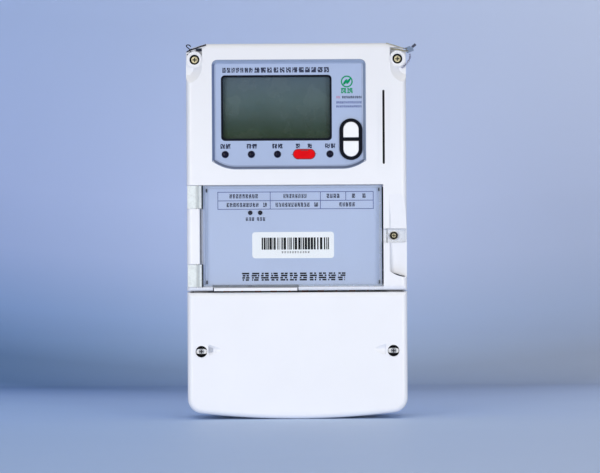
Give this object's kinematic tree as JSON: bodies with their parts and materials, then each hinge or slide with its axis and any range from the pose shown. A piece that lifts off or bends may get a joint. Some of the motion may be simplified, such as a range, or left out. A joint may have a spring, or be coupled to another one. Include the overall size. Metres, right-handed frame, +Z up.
{
  "type": "prepaid electricity meter",
  "caption": "Wall-hung three-phase prepaid electricity meter with display, keys, card slot, clear sealed flip door and a screwed terminal cover.",
  "frame": {"origin": "centre of the back face, on the wall", "axes": "+Z up, +Y into the wall, +X to the right seen from the front"},
  "size_m": [0.1795, 0.085, 0.29],
  "materials": {
    "case_plastic": "satin, fine moulding grain",
    "base_plastic": "satin",
    "key_plastic": "satin",
    "gasket_rubber": "matt",
    "brass_screw": "worn",
    "plated_screw": "polished, a little worn",
    "steel": "zinc plated",
    "brass": "machined",
    "printed_blue": "printed film",
    "clear_acrylic": "clear",
    "clear_polycarbonate": "clear, faint scratches",
    "black_plastic": "satin",
    "lcd_glass": "polarised, grey green",
    "diffuser": "satin",
    "circuit_board": "solder mask",
    "lamp_lens": "dark, glossy",
    "red_lens": "glossy",
    "diode_plastic": "glossy",
    "label_paper": "paper label",
    "grey_plastic": "satin",
    "battery_sleeve": "shrink sleeve",
    "bakelite": "moulded phenolic",
    "transformer_shell": "satin",
    "copper": "drawn copper",
    "core_steel": "laminated",
    "coil_tape": "tape",
    "capacitor_sleeve": "shrink sleeve",
    "varistor_coat": "coated disc",
    "relay_plastic": "satin",
    "chip_epoxy": "matt",
    "ribbon_grey": "satin",
    "seal_plastic": "translucent",
    "seal_wire": "twisted wire"
  },
  "bodies": {
    "meter": {"base_housing": "base_plastic", "case_gasket": "gasket_rubber", "upper_case": "case_plastic", "case_screws": "brass_screw", "case_screw_washers": "gasket_rubber", "base_screws": "steel", "threaded_inserts": "brass", "panel_overlay": "printed_blue", "display_window": "clear_acrylic", "lcd_frame": "black_plastic", "lcd_glass": "lcd_glass", "lcd_backlight": "diffuser", "display_board": "circuit_board", "indicator_lamps": "lamp_lens", "infrared_window": "red_lens", "infrared_diodes": "diode_plastic", "key_bezel": "black_plastic", "key_switches": "steel", "card_reader": "black_plastic", "nameplate": "printed_blue", "barcode_label": "label_paper", "comm_module": "grey_plastic", "module_headers": "black_plastic", "hinge_pins": "steel", "battery_holder": "black_plastic", "backup_battery": "battery_sleeve", "battery_contacts": "steel", "terminal_block": "bakelite", "terminal_barriers": "bakelite", "terminal_sleeves": "brass", "terminal_screws": "steel", "aux_sleeves": "brass", "aux_screws": "steel", "current_transformers": "transformer_shell", "phase_busbars": "copper", "voltage_leads": "copper", "main_board": "circuit_board", "transformer_core": "core_steel", "transformer_coil": "coil_tape", "electrolytic_capacitors": "capacitor_sleeve", "varistors": "varistor_coat", "clock_battery": "battery_sleeve", "trip_relay": "relay_plastic", "main_chips": "chip_epoxy", "ribbon_cable": "ribbon_grey", "board_screws": "steel", "tamper_seals": "seal_plastic", "seal_wires": "seal_wire"},
    "door": {"flip_door": "clear_polycarbonate", "door_screw_washer": "gasket_rubber"},
    "door_seal_screw": {"door_screw": "brass_screw"},
    "upper_key": {"key_upper": "key_plastic"},
    "lower_key": {"key_lower": "key_plastic"},
    "terminal_lid": {"terminal_cover": "case_plastic", "wiring_label": "label_paper", "cover_screw_washers": "gasket_rubber"},
    "left_cover_screw": {"cover_screw_left": "plated_screw"},
    "right_cover_screw": {"cover_screw_right": "plated_screw"},
    "wall_hanger": {"hanger": "steel"},
    "hatch": {"battery_hatch": "case_plastic"}
  },
  "joints": [
    {"name": "door_hinge", "type": "hinge", "parent": "meter", "child": "door", "pos_m": [-0.077, -0.081, -0.0037], "axis": [0, 0, -1], "range_deg": [0, 110]},
    {"name": "door_screw_turn", "type": "hinge", "parent": "door", "child": "door_seal_screw", "pos_m": [0.0749, -0.08, -0.0039], "axis": [0, 1, 0], "continuous": true},
    {"name": "upper_key_press", "type": "slide", "parent": "meter", "child": "upper_key", "axis": [0, 1, 0], "range_m": [0, 0.001], "stiffness_N_per_m": 800},
    {"name": "lower_key_press", "type": "slide", "parent": "meter", "child": "lower_key", "axis": [0, 1, 0], "range_m": [0, 0.001], "stiffness_N_per_m": 800},
    {"name": "terminal_cover_pull", "type": "slide", "parent": "meter", "child": "terminal_lid", "axis": [0, -1, 0], "range_m": [0, 0.1]},
    {"name": "left_cover_screw_turn", "type": "hinge", "parent": "terminal_lid", "child": "left_cover_screw", "pos_m": [-0.0742, -0.08, -0.0928], "axis": [0, 1, 0], "continuous": true},
    {"name": "right_cover_screw_turn", "type": "hinge", "parent": "terminal_lid", "child": "right_cover_screw", "pos_m": [0.0742, -0.08, -0.0928], "axis": [0, 1, 0], "continuous": true},
    {"name": "hanger_slide", "type": "slide", "parent": "meter", "child": "wall_hanger", "axis": [0, 0, 1], "range_m": [0, 0.014]},
    {"name": "battery_hatch_pull", "type": "slide", "parent": "meter", "child": "hatch", "axis": [0, -1, 0], "range_m": [0, 0.036]}
  ]
}
